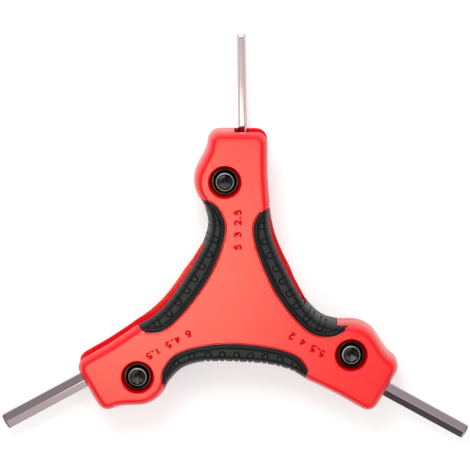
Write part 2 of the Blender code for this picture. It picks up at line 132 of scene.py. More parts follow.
# The recesses, screws and nuts
RECESS_RADIUS = 0.0062
RECESS_FOOT = 0.0049
RECESS_DEPTH = 0.0035
RECESS_FLARE = 0.0004
SLEEVE_RADIUS = 0.0028
RUNNING_GAP = 0.0002
SCREW_RADIUS = 0.0019
SCREW_TIP_CHAMFER = 0.0005
HEAD_RADIUS = 0.0046
HEAD_HEIGHT = 0.0024
HEAD_DOME = 0.0011
BOSS_RADIUS = 0.0032
BOSS_ROUND = 0.00025
BOSS_RISE = 0.0003
SOCKET_WIDTH = 0.005
SOCKET_DEPTH = 0.0012
SOCKET_CONE = 0.0015
SOCKET_POINT_SHARE = 0.02  # of the socket's width, left at the bottom of its cone
AXIAL_GAP = 0.00015
THREAD_LENGTH = 0.0145
WASHER_THICKNESS = 0.0006

# The size numbers: text, the arm it is on, its middle in the top arm's frame, and its turn
LABELS = (
    ("5 3 2.5", "top", (0.0, 0.029), 90),
    ("6 4.5 1.5", "left", (0.0, 0.0305), 90),
    ("5.5 4 2", "right", (0.0, 0.0305), -90),
)
DIGIT_SIZE = (0.0015, 0.0023)  # of the middle of its strokes, across and up
DIGIT_STROKE = 0.00036
DIGIT_LIFT = 0.00005
DIGIT_STEP = 0.0025
SPACE_STEP = 0.0022
POINT_STEP = 0.0014
STROKES = {  # of each sign, in shares of its size: each is a smooth line
    "1": (((0.3, 0.75), (0.7, 1)), ((0.7, 1), (0.7, 0))),
    "2": (
        ((0, 0.75), (0.12, 0.93), (0.5, 1), (0.88, 0.92), (0.97, 0.7), (0.75, 0.45), (0, 0)),
        ((0, 0), (1, 0)),
    ),
    "3": (
        ((0.03, 0.92), (0.5, 1), (0.9, 0.88), (0.88, 0.64), (0.4, 0.53)),
        ((0.4, 0.53), (0.92, 0.42), (1, 0.2), (0.6, 0.01), (0, 0.08)),
    ),
    "4": (((0.78, 0), (0.78, 1)), ((0.78, 1), (-0.1, 0.24)), ((-0.1, 0.24), (1.08, 0.24))),
    "5": (
        ((0.95, 1), (0.12, 1)), ((0.12, 1), (0.05, 0.55)),
        ((0.05, 0.55), (0.5, 0.63), (0.93, 0.5), (0.95, 0.2), (0.55, 0), (0, 0.08)),
    ),
    "6": (
        ((0.85, 0.96), (0.5, 1), (0.12, 0.78), (0, 0.45), (0.08, 0.14), (0.45, 0), (0.85, 0.1)),
        ((0.85, 0.1), (1, 0.32), (0.85, 0.54), (0.5, 0.61), (0.05, 0.42)),
    ),
    ".": (((0.0, -0.06), (0.0, 0.2)), ((0.2, -0.06), (0.2, 0.2))),
}

# How finely the meshes are divided
OUTLINE_SPACING = 0.0006
LINE_STEPS = 8
SIDE_STEPS = 14
ROUND_STEPS = 48
BOSS_STEPS = 3
MARK_STEPS = 14
MARK_BEND_STEPS = 8
BEAD_SIDES = 16
DIGIT_SIDES = 12
GROOVE_SIDES = 10
FINE_SIDES = 8
OVERRUN = 0.004  # of a cutter past what it cuts
SMOOTH_ANGLE = math.radians(33)
KEY_SMOOTH_ANGLE = math.radians(40)
HEAD_SMOOTH_ANGLE = math.radians(20)

# The finishes
PLASTIC_GRAIN = {"Scale": 1400.0, "Mottle": 60.0}
BLACK_GRAIN = {"Scale": 2500.0, "Mottle": 300.0}
KEY_WEAR = {"Start": 0.5, "End": 0.62}
BLACK_WEAR = {"Start": 0.53, "End": 0.66, "Scale": 900.0}
PLASTIC_PAINTED_SHADE = {"Reach": 0.0024, "Sharpness": 1.9}
PAINTED_SHADE_SHARE = 0.16  # of the plastic's own colour, as painted shade at the bottom of a recess or crease
RUBBED_SHARE = 0.5  # of a lighter colour, on the plastic's edges
RUBBED_GAIN = 1.15
RUBBED_LIFT = 0.004
WORN_GAIN = 1.2  # of the steel's own colour, on its edges
PLASTIC_BUMP = (0.00001, 0.35)  # its height and strength
KEY_BUMP = (0.0000015, 0.4)
BLACK_BUMP = (0.000006, 0.5)
BLACK_EDGE = 0.0001
DUST_COLOUR = (0.7, 0.66, 0.62)
DUST_START = 0.45  # of its noise, below which there is none
SLOW_NOISE_SCALE = 90.0  # of the keys' colour
PLASTIC_VARIATION = (0.05, 0.025)  # of its roughness, and how much of that is below its value
KEY_VARIATION = (0.1, 0.05)
BLACK_VARIATION = (0.15, 0.07)

# The studio; its cards show only in reflections
FLOOR_HALF = 6.0
FLOOR_DROP = 0.0002
FLOOR_COLOUR = 0.7
FLOOR_GLOW = 0.45
WORLD_LEVEL = 0.78
RING_RADIUS = 0.8
RING_HEIGHT = 1.3
RING_LEVELS = (  # how bright its cards are, by the angle round the object in degrees
    (0, 0.25), (60, 0.65), (120, 0.45), (180, 0.25), (215, 0.04), (240, 0.02), (265, 0.2), (300, 1.3),
    (330, 0.5),
)
SHEEN_PLACE = (-0.044, -0.046, 0.5)
SHEEN_RADIUS = 0.085
SHEEN_STRETCH = (0.9, 1.05, 1.0)
SHEEN_TURN = math.radians(-26.6)
SHEEN_FADE = 0.03
SHEEN_LEVEL = 17.0
SHEEN_COLOUR = (1.0, 0.84, 0.58)
WINDOW_PLACE = (-0.12, 0.42, 0.62)
WINDOW_TARGET = (0.0, 0.02, 0.0)
WINDOW_SIZE = 0.3
WINDOW_WATTS = 2.6
WINDOW_COLOUR = (1.0, 0.98, 0.95)

# The camera: the photograph looks down on the front face, from a little beyond the top arm
PHOTO_SIZE = 470
PIXELS_PER_METRE = 2623.0
CAMERA_DISTANCE = 1.5
CAMERA_TILT = math.radians(7.3)
CAMERA_TARGET = (-0.0011, 0.0267, 0.023)

THIRD = math.radians(120)
ARM_TURNS = {"top": 0.0, "left": THIRD, "right": -THIRD}
GRIP_TURNS = {"right": 0.0, "left": THIRD, "bottom": -THIRD}


# Outlines

def polar(radius, angle, centre=(0.0, 0.0)):
    """A point by its distance and direction from a centre."""
    return (centre[0] + radius * math.cos(angle), centre[1] + radius * math.sin(angle))


def turned(points, angle):
    """Points in the plane, turned about the handle's centre."""
    x, y = np.asarray(points, float).T
    c, s = math.cos(angle), math.sin(angle)
    return np.column_stack((x * c - y * s, x * s + y * c))


def arc(centre, radius, start, end, steps):
    return [polar(radius, start + (end - start) * i / steps, centre) for i in range(steps + 1)]


def quarter(radius, level, inwards, drop, steps=LINE_STEPS):
    """A quarter of an ellipse, up and in from (radius, level - drop) to (radius - inwards, level)."""
    angles = [math.pi / 2 * k / steps for k in range(steps + 1)]
    return [(radius - inwards * (1 - math.cos(a)), level - drop * (1 - math.sin(a))) for a in angles]


def smooth_line(points, steps=LINE_STEPS):
    """A smooth line through the points, with steps stretches between each two."""
    padded = np.array([points[0]] + list(points) + [points[-1]], float)
    t = np.arange(steps)[:, None] / steps
    weights = (-t + 2 * t**2 - t**3, 2 - 5 * t**2 + 3 * t**3, t + 4 * t**2 - 3 * t**3, t**3 - t**2)
    line = [
        sum(w * padded[i + k] for k, w in enumerate(weights)) / 2 for i in range(len(points) - 1)
    ]
    return np.vstack(line + [padded[-1:]])


def shifted_line(points, distances):
    """An open line moved to its right by a distance at each point."""
    points = np.asarray(points, float)
    run = np.gradient(points, axis=0)
    run /= np.linalg.norm(run, axis=1)[:, None]
    right = np.column_stack((run[:, 1], -run[:, 0]))
    return points + right * np.broadcast_to(distances, len(points))[:, None]


def even_loop(points, spacing=OUTLINE_SPACING, passes=3):
    """A closed outline with evenly spaced points and its kinks softened."""
    points = np.vstack((points, points[:1]))
    along = np.r_[0, np.cumsum(np.linalg.norm(np.diff(points, axis=0), axis=1))]
    count = int(along[-1] / spacing)
    at = np.linspace(0, along[-1], count, endpoint=False)
    loop = np.column_stack([np.interp(at, along, points[:, k]) for k in (0, 1)])
    for _ in range(passes):
        loop = (2 * loop + np.roll(loop, 1, 0) + np.roll(loop, -1, 0)) / 4
    return loop


def inset_loop(points, distance):
    """A closed counterclockwise outline moved inwards."""
    before = points - np.roll(points, 1, 0)
    after = np.roll(points, -1, 0) - points
    before /= np.linalg.norm(before, axis=1)[:, None]
    after /= np.linalg.norm(after, axis=1)[:, None]
    inward = np.column_stack((-before[:, 1] - after[:, 1], before[:, 0] + after[:, 0]))
    inward /= np.linalg.norm(inward, axis=1)[:, None]
    slant = np.clip((inward * np.column_stack((-before[:, 1], before[:, 0]))).sum(1), 0.5, 1)
    return points + inward * (distance / slant)[:, None]


def corner_reach(width):
    """How far a hexagon's corners lie from its middle."""
    return width / 2 / math.cos(math.pi / 6)


def stack_height(arm):
    """How high an arm's three keys are together."""
    first, *rest = KEY_WIDTHS[arm]
    return sum([2 * corner_reach(first) if arm in CORNER_UP_ARMS else first] + rest)


HOOK_RADIUS = KEY_OFFSET + WIDEST_HALF
SLOT_HEIGHT = max(stack_height(arm) for arm in KEY_WIDTHS) + 4 * WASHER_THICKNESS + 8 * AXIAL_GAP
SLOT_FLOOR = (THICKNESS - SLOT_HEIGHT) / 2
SLOT_ROOF = THICKNESS - SLOT_FLOOR
FOLDED_DISTANCE = CORE_RADIUS + WIDEST_HALF + SLOT_CLEARANCE
FOLDED_TIP = FOLDED_DISTANCE * math.tan(math.pi / 3) - (
    TIP_WALL + 2 * (WIDEST_HALF + SLOT_CLEARANCE)
) / math.cos(math.pi / 6)
PIVOT = polar(
    math.hypot(FOLDED_DISTANCE + KEY_OFFSET, KEY_REACH - FOLDED_TIP),
    math.pi / 2 - FOLD_ANGLE + math.atan2(FOLDED_DISTANCE + KEY_OFFSET, FOLDED_TIP - KEY_REACH),
)
SLOT_LEFT = PIVOT[0] + KEY_OFFSET - WIDEST_HALF - SLOT_CLEARANCE
SLOT_END_RADIUS = math.hypot(KEY_REACH, HOOK_RADIUS) + SLOT_END_CLEARANCE
ARM_END = PIVOT[1] + HEAD_LENGTH
BUMP_RADIUS = HOOK_RADIUS + SLOT_CLEARANCE + HOOK_WALL
BUMP_FOOT = polar(BUMP_RADIUS, BUMP_END, PIVOT)


def from_shares(shares, whole=(ARM_HALF, PIVOT[1])):
    """Points from their shares of a place, across and outwards."""
    return [(across * whole[0], outwards * whole[1]) for across, outwards in shares]


def grip_border():
    """The inner border of the right grip, from the top arm's side to the right arm's waist."""
    far = turned(from_shares(FAR_BORDER_SHARES, BUMP_FOOT), -THIRD)
    return smooth_line(np.vstack((from_shares(BORDER_SHARES), far)))


def handle_outline(lip):
    """The handle's widest outline, with a lip beside the slots."""
    slot_side = smooth_line(from_shares(SLOT_SIDE_SHARES))
    ramps = np.ones(len(slot_side))
    ramps[:LINE_STEPS] = np.linspace(LIP_START_SHARE, 1, LINE_STEPS)
    ramps[-LINE_STEPS:] = np.linspace(LIP_END_SHARES[0], LIP_END_SHARES[1], LINE_STEPS)
    third = [shifted_line(slot_side, lip * ramps), smooth_line(from_shares(ARM_SIDE_SHARES))]
    corner = (ARM_HALF - CORNER_RADIUS, ARM_END - CORNER_RADIUS)
    third.append(arc(corner, CORNER_RADIUS, 0, math.pi / 2, LINE_STEPS))
    corner = (CORNER_RADIUS - ARM_HALF * HEAD_LEFT_SHARE, ARM_END - CORNER_RADIUS)
    third.append(arc(corner, CORNER_RADIUS, math.pi / 2, math.pi, LINE_STEPS))
    bump = arc(PIVOT, BUMP_RADIUS, BUMP_START, BUMP_END, 2 * LINE_STEPS)
    head_end, bump = np.array(third[-1][-1]), np.array(bump)
    way = np.vstack(([(0, 0)], SHOULDER_SHARES, [(1, 1)]))
    shoulder = smooth_line(head_end + (bump[0] - head_end) * way)
    third += [shoulder[1:-1], bump, smooth_line(from_shares(WAIST_SHARES, BUMP_FOOT))]
    third = np.vstack(third)
    return even_loop(np.vstack([turned(third, step * THIRD) for step in range(3)]))


def slot_outline(margin):
    """The space that an arm's keys swing through, open past the arm's end and right side."""
    wall_radius = HOOK_RADIUS + SLOT_CLEARANCE + margin
    fold = math.pi / 2 - FOLD_ANGLE
    far = SLOT_END_RADIUS + margin
    left = SLOT_LEFT - margin
    first = math.acos((left - PIVOT[0]) / wall_radius)
    points = [(left, ARM_END + OVERRUN)]
    points += arc(PIVOT, wall_radius, first, fold + 3 * math.pi / 2, ROUND_STEPS)
    start = fold - math.asin(wall_radius / far)
    points += arc(PIVOT, far, start, start + math.atan2(far / 2, far), ROUND_STEPS // 2)
    points.append((PIVOT[0] + far, points[-1][1] + OVERRUN))
    points.append((PIVOT[0] + far, ARM_END + OVERRUN))
    return np.array(points)


def grip_outline(gap):
    """The land of one grip: its border, and out past the handle's side."""
    outside = np.array([(0.0, ARM_HALF + PIVOT[1])])
    ends = [turned(outside, -THIRD * share) for share in GRIP_FAR_SHARES]
    return np.vstack([shifted_line(grip_border(), gap)] + ends)


# Meshes

CIRCLE_ANGLES = np.arange(ROUND_STEPS) * math.tau / ROUND_STEPS
CIRCLE = np.column_stack((np.cos(CIRCLE_ANGLES), np.sin(CIRCLE_ANGLES)))


def mesh_from(name, points, faces):
    mesh = bpy.data.meshes.new(name)
    mesh.from_pydata([tuple(p) for p in points], [], [tuple(f) for f in faces])
    mesh.validate()
    return mesh


def rings_mesh(name, rings):
    """A solid through rings of points, from its lowest ring to its highest."""
    count = len(rings[0])
    faces = []
    for k in range(len(rings) - 1):
        low, high = k * count, (k + 1) * count
        for i in range(count):
            after = (i + 1) % count
            faces.append((low + i, low + after, high + after, high + i))
    faces += [range(count - 1, -1, -1), range((len(rings) - 1) * count, len(rings) * count)]
    return mesh_from(name, np.vstack(rings), faces)


def at_level(points, level):
    return np.column_stack((points, np.full(len(points), level)))


def prism(name, points, bottom, top):
    return rings_mesh(name, [at_level(np.asarray(points), level) for level in (bottom, top)])


def domed(name, loop, levels, inset, drop, chamfer=0.0):
    """A solid from a lower level up to a face, its side curving in towards the face."""
    bottom, face = levels
    rings = [at_level(inset_loop(loop, chamfer), bottom), at_level(loop, bottom + chamfer)]
    for away, level in quarter(0.0, face, -inset, drop, SIDE_STEPS):
        rings.append(at_level(inset_loop(loop, away), level))
    rings.append(at_level(inset_loop(loop, inset + FACE_MARGIN), face))
    return rings_mesh(name, rings if chamfer else rings[1:])


def lathe(name, profile, at=(0.0, 0.0)):
    """A solid turned from (radius, height) points that run up its outer side, from axis to axis."""
    return rings_mesh(name, [at_level(CIRCLE * r + np.array(at), z) for r, z in profile])


def tube(name, path, radius, sides):
    """A round bar along a path in space, its ends closed."""
    path = np.asarray(path, float)
    run = np.gradient(path, axis=0)
    run /= np.linalg.norm(run, axis=1)[:, None]
    side = np.cross((0.0, 0.0, 1.0), run)
    side /= np.linalg.norm(side, axis=1)[:, None]
    rise = np.cross(run, side)
    angles = np.arange(sides) * math.tau / sides
    rings = [
        p + radius * (np.outer(np.cos(angles), s) + np.outer(np.sin(angles), u))
        for p, s, u in zip(path, side, rise)
    ]
    return rings_mesh(name, rings)


def thing_of(mesh, finish=None):
    """An object of a mesh, in one finish if it is given."""
    thing = bpy.data.objects.new(mesh.name, mesh)
    bpy.context.scene.collection.objects.link(thing)
    if finish:
        mesh.materials.clear()
        mesh.materials.append(finish)
    return thing


def settle(thing):
    """Make a piece's modifiers part of its mesh."""
    bpy.context.view_layer.update()
    graph = bpy.context.evaluated_depsgraph_get()
    shape = thing.evaluated_get(graph)
    mesh = bpy.data.meshes.new_from_object(shape, preserve_all_data_layers=True, depsgraph=graph)
    thing.modifiers.clear()
    thing.data = mesh


def mesh_of(thing):
    """A piece's mesh, without the piece."""
    mesh = thing.data
    bpy.data.objects.remove(thing)
    return mesh


def carve(thing, meshes, operation="DIFFERENCE"):
    """Cut meshes out of a piece, or join or intersect it with them, for good."""
    others = [thing_of(mesh) for mesh in meshes]
    for other in others:
        step = thing.modifiers.new("carve", "BOOLEAN")
        step.operation = operation
        step.solver = "MANIFOLD"
        step.object = other
        step.material_mode = "TRANSFER"
    settle(thing)
    for other in others:
        bpy.data.objects.remove(other)
    return thing


def smooth(thing, angle=SMOOTH_ANGLE):
    """Smooth shading that keeps the flats flat."""
    thing.data.polygons.foreach_set("use_smooth", [True] * len(thing.data.polygons))
    thing.data.set_sharp_from_angle(angle=angle)
    weighted = thing.modifiers.new("flats", "WEIGHTED_NORMAL")
    weighted.keep_sharp = True
    settle(thing)
    return thing


def turned_copy(mesh, angle, mirror=False):
    """A mesh turned about the handle's centre, or mirrored to the other half first."""
    copy = mesh.copy()
    if mirror:
        copy.transform(Matrix.Translation((0, 0, THICKNESS)) @ Matrix.Diagonal((1, 1, -1, 1)))
        copy.flip_normals()
    copy.transform(Matrix.Rotation(angle, 4, "Z"))
    return copy


def piece(mesh, name, body, node):
    """A finished piece that stands for a node of the frame."""
    mesh.name = name
    thing = thing_of(mesh)
    thing.name = name
    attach(thing, body)
    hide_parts(node)


# Pieces

PLAIN_LOOP = handle_outline(0.0)


def side_level(points, face):
    """The level of the handle's curved surface under points in the plane."""
    points = np.asarray(points, float)
    start, end = PLAIN_LOOP, np.roll(PLAIN_LOOP, -1, 0)
    run = end - start
    reach = points[:, None, :] - start[None]
    share = np.clip((reach * run).sum(2) / (run**2).sum(1), 0, 1)
    away = np.linalg.norm(reach - share[..., None] * run, axis=2).min(1)
    short = 1 - np.clip(away / SIDE_INSET, 0, 1)
    return face - SIDE_DROP * (1 - np.sqrt(1 - short**2))


def on_surface(points, face, lift):
    """Points in the plane, raised to the handle's surface and by a lift."""
    return np.column_stack((points, side_level(points, face) + lift))


def border_line(inset, face, lift):
    """A line inside a grip's border that follows the surface."""
    line = shifted_line(grip_border(), -inset)[LINE_STEPS:-LINE_STEPS // 2]
    return on_surface(line, face, lift)


def grip_land(gap, turns, front):
    """Where the grips of a half lie: a band round its face and a skirt down its side."""
    levels = (PARTING - OVERRUN, THICKNESS + OVERRUN)
    lands = [prism("land", turned(grip_outline(gap), turn), *levels) for turn in turns]
    land = thing_of(lands[0])
    for other in lands[1:]:
        carve(land, [other], "UNION")
    depth = GRIP_DEPTH + gap
    inner = inset_loop(PLAIN_LOOP, GRIP_SKIRT + gap)
    levels = (PARTING - 2 * OVERRUN, THICKNESS - depth)
    low = SKIRT_TOP_SHARE * PIVOT[1] + gap
    waist = [(0.0, low), (0.0, ARM_END), (-2 * ARM_HALF, ARM_END), (-2 * ARM_HALF, low)]
    cutters = [domed("core", inner, levels, GRIP_CORE_INSET, SIDE_DROP - depth)]
    for angle in ARM_TURNS.values():
        cutters.append(prism("waist", turned(waist, angle), -OVERRUN, THICKNESS - WAIST_DEPTH - gap))
        if not front:
            outline = turned(slot_outline(GRIP_MARGIN - gap), angle)
            cutters.append(prism("slot", outline, -OVERRUN, THICKNESS - depth))
    return mesh_of(carve(land, cutters))


def flared_recess(centre):
    """A tapered recess with a rounded mouth, as a cutter."""
    profile = [(RECESS_FOOT, THICKNESS - RECESS_DEPTH)]
    profile += quarter(RECESS_RADIUS, THICKNESS, -RECESS_FLARE, RECESS_FLARE)
    profile.append((RECESS_RADIUS + RECESS_FLARE, THICKNESS + OVERRUN))
    return lathe("recess", profile, centre)


def label_mesh(text, arm, at, turn, finish):
    """A size number as one cutter, of round strokes that lie in the face."""
    steps = [{" ": SPACE_STEP, ".": POINT_STEP}.get(sign, DIGIT_STEP) for sign in text]
    bars = []
    for k, sign in enumerate(text):
        start = sum(steps[:k]) - (sum(steps) - DIGIT_STEP + DIGIT_SIZE[0]) / 2
        for stroke in STROKES.get(sign, ()):
            line = smooth_line(np.array(stroke) * DIGIT_SIZE) + (start, -DIGIT_SIZE[1] / 2)
            bars.append(tube("stroke", at_level(line, DIGIT_LIFT), DIGIT_STROKE, DIGIT_SIDES))
    mesh = mesh_of(carve(thing_of(bars[0]), bars[1:], "UNION"))
    place = Matrix.Translation((*at, THICKNESS)) @ Matrix.Rotation(math.radians(turn), 4, "Z")
    mesh.transform(Matrix.Rotation(ARM_TURNS[arm], 4, "Z") @ place)
    mesh.materials.clear()
    mesh.materials.append(finish)
    return mesh


def make_half(front, finish, shaded_label_finish):
    """One half of the handle, with its face up."""
    loop = handle_outline(0.0 if front else LIP)
    levels = (PARTING + HALF_GAP, THICKNESS)
    shell = thing_of(domed("shell", loop, levels, SIDE_INSET, SIDE_DROP, PARTING_CHAMFER), finish)
    cutters = [grip_land(GRIP_GAP, list(GRIP_TURNS.values()), front)]
    for angle in ARM_TURNS.values():
        centre = turned([PIVOT], angle)[0]
        cutters.append(prism("slot", turned(slot_outline(0.0), angle), PARTING - OVERRUN, SLOT_ROOF))
        cutters.append(flared_recess(centre))
        bore = [(SLEEVE_RADIUS + RUNNING_GAP, level) for level in (0.0, THICKNESS)]
        cutters.append(lathe("bore", bore, centre))
    carve(shell, cutters)
    line = border_line(-SHADOW_RADIUS, THICKNESS, 0.0)
    groove = tube("shadow_line", line, SHADOW_RADIUS, FINE_SIDES)
    carve(shell, [turned_copy(groove, turn) for turn in GRIP_TURNS.values()])
    if front:
        carve(shell, [label_mesh(*label, shaded_label_finish) for label in LABELS])
    return smooth(shell)


def grip_marks():
    """The U-shaped marks pressed in a grip, open to the handle's side, as cutters."""
    count = len(PLAIN_LOOP)
    first, last = (
        np.linalg.norm(PLAIN_LOOP - np.array(at), axis=1).argmin() for at in (MARK_END, MARK_START)
    )
    span = (last - first) % count
    inward = inset_loop(PLAIN_LOOP, 1.0) - PLAIN_LOOP
    inward /= np.linalg.norm(inward, axis=1)[:, None]
    leg = np.linspace(-MARK_OVERRUN, MARK_REACH - MARK_HALF, MARK_STEPS)
    bend = np.linspace(0, math.pi, MARK_BEND_STEPS + 1)[1:-1]
    side = np.full(MARK_STEPS, 1.0)
    along = np.r_[-side, -np.cos(bend), side] * (MARK_HALF / OUTLINE_SPACING)
    away = np.r_[leg, leg[-1] + MARK_HALF * np.sin(bend), leg[::-1]]
    marks = []
    for k in range(MARK_COUNT):
        middle = first + span * k / (MARK_COUNT - 1)
        at = (middle + along) % count
        low = at.astype(int)
        share = (at - low)[:, None]
        edge = PLAIN_LOOP[low] * (1 - share) + PLAIN_LOOP[(low + 1) % count] * share
        points = edge + inward[int(middle) % count] * away[:, None]
        path = on_surface(points, THICKNESS - GRIP_SINK, -MARK_SINK)
        marks.append(tube("mark", path, MARK_RADIUS, FINE_SIDES))
    return marks


def make_grip(front, finish):
    """The right grip of a half, with its face up."""
    face = THICKNESS - GRIP_SINK
    levels = (PARTING + HALF_GAP, face)
    drop = SIDE_DROP - GRIP_SINK
    grip = thing_of(domed("grip", PLAIN_LOOP, levels, SIDE_INSET, drop, PARTING_CHAMFER), finish)
    carve(grip, [grip_land(0.0, [0.0], front)], "INTERSECT")
    slots = [turned(slot_outline(0.0), angle) for angle in (0.0, -THIRD)]
    carve(grip, [prism("slot", outline, PARTING - OVERRUN, SLOT_ROOF) for outline in slots])
    bead = border_line(BEAD_INSET, face, GRIP_SINK - BEAD_RADIUS)
    carve(grip, [tube("bead", bead, BEAD_RADIUS, BEAD_SIDES)], "UNION")
    groove = border_line(GROOVE_INSET, face, 0.0)
    carve(grip, [tube("groove", groove, GROOVE_RADIUS, GROOVE_SIDES)] + grip_marks())
    return smooth(grip)


def hexagon_socket(top):
    """A hexagon socket with two corners along the arm and a coned bottom, as a cutter."""
    foot = top - SOCKET_DEPTH
    corner = corner_reach(SOCKET_WIDTH)
    points = np.array([polar(corner, math.pi / 2 + math.pi / 3 * i) for i in range(6)])
    return rings_mesh("socket", [
        at_level(points * SOCKET_POINT_SHARE, foot - SOCKET_CONE),
        at_level(points, foot), at_level(points, top + OVERRUN),
    ])


def head_profile(seat):
    """The turned outside of a screw's or nut's head, with a raised boss round its socket."""
    top = seat + HEAD_HEIGHT
    shoulder = top - BOSS_RISE
    inwards = HEAD_RADIUS - (BOSS_RADIUS + BOSS_ROUND)
    profile = [(HEAD_RADIUS, seat)] + quarter(HEAD_RADIUS, shoulder, inwards, HEAD_DOME)
    profile.append((BOSS_RADIUS, shoulder + BOSS_RISE / 4))
    profile += quarter(BOSS_RADIUS, top, BOSS_ROUND / 2, BOSS_ROUND / 2, BOSS_STEPS)
    return profile + [(BOSS_RADIUS / 4, top)]


def make_screw(finishes):
    """A pivot screw at the origin, head up: its boss's rim is bright steel, worn bare and partly a
    painted highlight, and its socket is dark steel lightened for painted highlights.
    """
    seat = THICKNESS - RECESS_DEPTH + AXIAL_GAP
    tip = seat - THREAD_LENGTH
    shank = [
        (SCREW_RADIUS - SCREW_TIP_CHAMFER, tip), (SCREW_RADIUS, tip + SCREW_TIP_CHAMFER),
        (SCREW_RADIUS, seat),
    ]
    return finished_head(lathe("screw", shank + head_profile(seat)), seat, finishes)


def make_nut(finishes):
    """A sleeve nut at the origin, turned over so that its head is up."""
    seat = THICKNESS - RECESS_DEPTH + AXIAL_GAP
    tip = RECESS_DEPTH + AXIAL_GAP
    bore = SCREW_RADIUS + AXIAL_GAP
    shank = [
        (SCREW_RADIUS / 4, tip + THREAD_LENGTH), (bore, tip + THREAD_LENGTH), (bore, tip),
        (SLEEVE_RADIUS, tip), (SLEEVE_RADIUS, seat),
    ]
    return finished_head(lathe("nut", shank + head_profile(seat)), seat, finishes)


def finished_head(mesh, seat, finishes):
    """A screw or nut with its socket cut, in its steel, its boss's rim finish and its socket's: the
    rim's brightness is partly painted highlight, and the socket's steel is lightened for painted
    highlights.
    """
    for finish in finishes:
        mesh.materials.append(finish)
    top = seat + HEAD_HEIGHT
    # The band round the boss's rounded edge is bright steel: worn bare, and a painted highlight.
    for face in mesh.polygons:
        away = math.hypot(face.center.x, face.center.y)
        if abs(away - BOSS_RADIUS) < BOSS_ROUND and face.center.z > top - BOSS_RISE:
            face.material_index = 1
    cutter = hexagon_socket(top)
    cutter.materials.append(finishes[2])
    return smooth(carve(thing_of(mesh), [cutter]), HEAD_SMOOTH_ANGLE)


def hexagon_section(width, corner_up):
    """A key's section with lightly rounded corners: outwards from the pivot, and up."""
    first = math.pi / 2 if corner_up else 0.0
    corners = np.array([polar(corner_reach(width), first + math.pi / 3 * i) for i in range(6)])
    points = []
    for i, at in enumerate(corners):
        before, after = corners[i - 1], corners[(i + 1) % 6]
        start = at + (before - at) * KEY_CORNER_ROUND_SHARE
        end = at + (after - at) * KEY_CORNER_ROUND_SHARE
        points += [start, (start + 2 * at + end) / 4, end]
    return np.array(points)


def make_key(width, corner_up, finish):
    """A hex key in its own frame: the pivot is at the origin and the key runs along +Y.

    Its UV map runs across the section and, in metres, along the key, for the drawn lines."""
    section = hexagon_section(width, corner_up)
    from_tip = (0.0, TIP_CHAMFER / 3, TIP_CHAMFER, TIP_CHAMFER * 1.5)
    shrink = (TIP_TAPER_SHARE, (1 + TIP_TAPER_SHARE) / 2)
    straight = [(KEY_OFFSET, KEY_REACH - back) for back in from_tip]
    straight += [(KEY_OFFSET, KEY_REACH * share) for share in KEY_RING_SHARES]
    hook = arc((0.0, 0.0), KEY_OFFSET, 0.0, -HOOK_WRAP, ROUND_STEPS)
    path = np.array(straight + hook)
    across = np.vstack((np.tile((1.0, 0.0), (len(straight), 1)), np.array(hook) / KEY_OFFSET))
    rings = []
    for k, (at, out) in enumerate(zip(path, across)):
        scale = shrink[k] if k < len(shrink) else 1.0
        rings.append(np.column_stack((at + section[:, :1] * scale * out, section[:, 1] * scale)))
    key = thing_of(rings_mesh("key", rings[::-1]), finish)
    work = bmesh.new()
    work.from_mesh(key.data)
    bmesh.ops.recalc_face_normals(work, faces=work.faces)
    work.to_mesh(key.data)
    work.free()
    along = np.r_[0, np.cumsum(np.linalg.norm(np.diff(path[::-1], axis=0), axis=1))]
    drawn = key.data.uv_layers.new(name="drawn")
    for loop in key.data.loops:
        ring, spot = divmod(loop.vertex_index, len(section))
        drawn.data[loop.index].uv = (section[spot, 0] + 2 * section[spot, 1], along[ring])
    return smooth(key, KEY_SMOOTH_ANGLE)


# Finishes

def group_of(name, inputs, outputs):
    """An empty node group with named sockets."""
    group = bpy.data.node_groups.new(name, "ShaderNodeTree")
    for label, value in inputs:
        socket = group.interface.new_socket(label, in_out="INPUT", socket_type="NodeSocketFloat")
        socket.default_value = value
    for label, kind in outputs:
        group.interface.new_socket(label, in_out="OUTPUT", socket_type="NodeSocket" + kind)
    return group, group.nodes.new("NodeGroupInput"), group.nodes.new("NodeGroupOutput")


def wire(group, *pairs):
    """Join sockets, each pair from an output to an input."""
    for source, target in pairs:
        group.links.new(source, target)


def maths(group, operation, *values):
    """A math node; each value is a number or a socket."""
    node = group.nodes.new("ShaderNodeMath")
    node.operation = operation
    for socket, value in zip(node.inputs, values):
        if isinstance(value, (int, float)):
            socket.default_value = value
        else:
            group.links.new(value, socket)
    return node.outputs[0]


def grain_group():
    """Fine moulded grain: a height from small noise, and a slow mottling."""
    group, given, gives = group_of(
        "moulded_grain", [("Scale", 900.0), ("Mottle", 40.0)],
        [("Height", "Float"), ("Mask", "Float")],
    )
    place = group.nodes.new("ShaderNodeTexCoord")
    for label, target in (("Scale", "Height"), ("Mottle", "Mask")):
        noise = group.nodes.new("ShaderNodeTexNoise")
        noise.inputs["Detail"].default_value = 4.0
        wire(
            group, (place.outputs["Object"], noise.inputs["Vector"]),
            (given.outputs[label], noise.inputs["Scale"]),
            (noise.outputs["Fac"], gives.inputs[target]),
        )
    return group


def wear_group():
    """Where edges stand proud, broken up by noise."""
    group, given, gives = group_of(
        "edge_wear", [("Start", 0.52), ("End", 0.6), ("Scale", 500.0)], [("Mask", "Float")]
    )
    shape = group.nodes.new("ShaderNodeNewGeometry")
    ramp = group.nodes.new("ShaderNodeMapRange")
    noise = group.nodes.new("ShaderNodeTexNoise")
    place = group.nodes.new("ShaderNodeTexCoord")
    wire(
        group, (shape.outputs["Pointiness"], ramp.inputs["Value"]),
        (given.outputs["Start"], ramp.inputs["From Min"]),
        (given.outputs["End"], ramp.inputs["From Max"]),
        (place.outputs["Object"], noise.inputs["Vector"]),
        (given.outputs["Scale"], noise.inputs["Scale"]),
    )
    mask = maths(group, "MULTIPLY", ramp.outputs["Result"], noise.outputs["Fac"])
    wire(group, (mask, gives.inputs["Mask"]))
    return group


